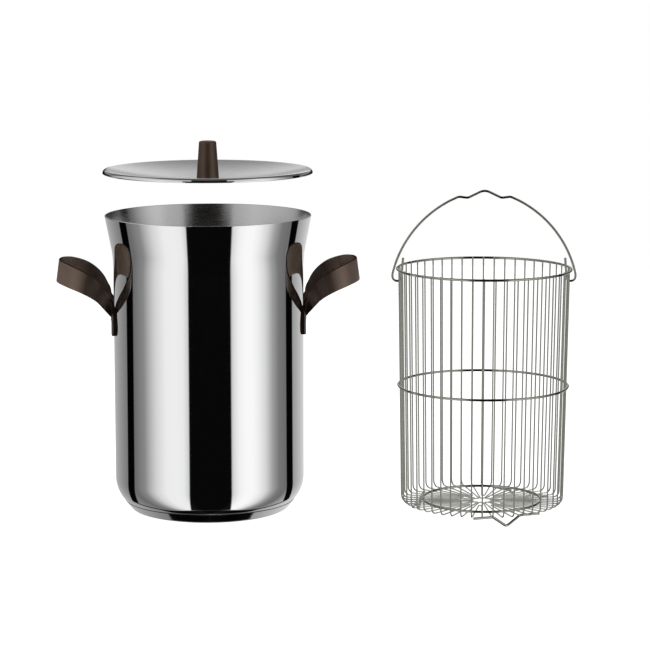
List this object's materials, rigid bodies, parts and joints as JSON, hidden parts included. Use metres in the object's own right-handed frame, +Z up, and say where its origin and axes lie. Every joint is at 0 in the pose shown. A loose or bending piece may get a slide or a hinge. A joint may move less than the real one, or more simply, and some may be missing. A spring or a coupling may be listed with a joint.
{
  "type": "asparagus pot",
  "caption": "Tall narrow steel pot with a flared mouth, looped strap handles, a saucer-shaped lid with a tapered knob, and a wire lifting basket with a swinging bail.",
  "frame": {"origin": "centre of the pot's base, on the surface it stands on", "axes": "+Z up along the pot's axis, +X from the pot to the basket that stands beside it, -Y towards the front"},
  "size_m": [0.4407, 0.1913, 0.3158],
  "materials": {
    "polished_steel": "stainless steel, mirror-polished outside, satin inside",
    "satin_steel": "stainless steel, fine satin brushing round the axis",
    "steel_wire": "stainless steel wire, drawn and electropolished",
    "brown_coat": "steel with a satin warm brown coat",
    "cast_aluminium": "plain aluminium, hidden in the base"
  },
  "bodies": {
    "pot": {"pot_shell": "polished_steel", "base_core_disc": "cast_aluminium", "base_cap": "polished_steel", "left_handle_strap": "brown_coat", "right_handle_strap": "brown_coat"},
    "lid": {"lid_dish": "satin_steel", "lid_knob": "brown_coat", "knob_stud": "satin_steel"},
    "basket": {"basket_floor_ring": "steel_wire", "basket_foot_1": "steel_wire", "basket_foot_2": "steel_wire", "basket_foot_3": "steel_wire", "basket_middle_ring": "steel_wire", "basket_top_ring": "steel_wire", "basket_wire_long_01": "steel_wire", "basket_wire_long_02": "steel_wire", "basket_wire_long_03": "steel_wire", "basket_wire_long_04": "steel_wire", "basket_wire_long_05": "steel_wire", "basket_wire_long_06": "steel_wire", "basket_wire_long_07": "steel_wire", "basket_wire_long_08": "steel_wire", "basket_wire_long_09": "steel_wire", "basket_wire_long_10": "steel_wire", "basket_wire_long_11": "steel_wire", "basket_wire_long_12": "steel_wire", "basket_wire_short_01": "steel_wire", "basket_wire_short_02": "steel_wire", "basket_wire_short_03": "steel_wire", "basket_wire_short_04": "steel_wire", "basket_wire_short_05": "steel_wire", "basket_wire_short_06": "steel_wire", "basket_wire_short_07": "steel_wire", "basket_wire_short_08": "steel_wire", "basket_wire_short_09": "steel_wire", "basket_wire_short_10": "steel_wire", "basket_wire_short_11": "steel_wire", "basket_wire_short_12": "steel_wire"},
    "bail": {"basket_bail": "steel_wire"}
  },
  "joints": [
    {"name": "lid_lift", "type": "slide", "parent": "pot", "child": "lid", "axis": [0, 0, 1], "range_m": [-0.0368, 0.12]},
    {"name": "basket_lift", "type": "slide", "parent": "pot", "child": "basket", "axis": [0, 0, 1], "range_m": [0, 0.28]},
    {"name": "bail_swing", "type": "hinge", "parent": "basket", "child": "bail", "pos_m": [0.2333, -0.0279, 0.2], "axis": [1, 0, 0], "range_deg": [-40, 40]}
  ]
}
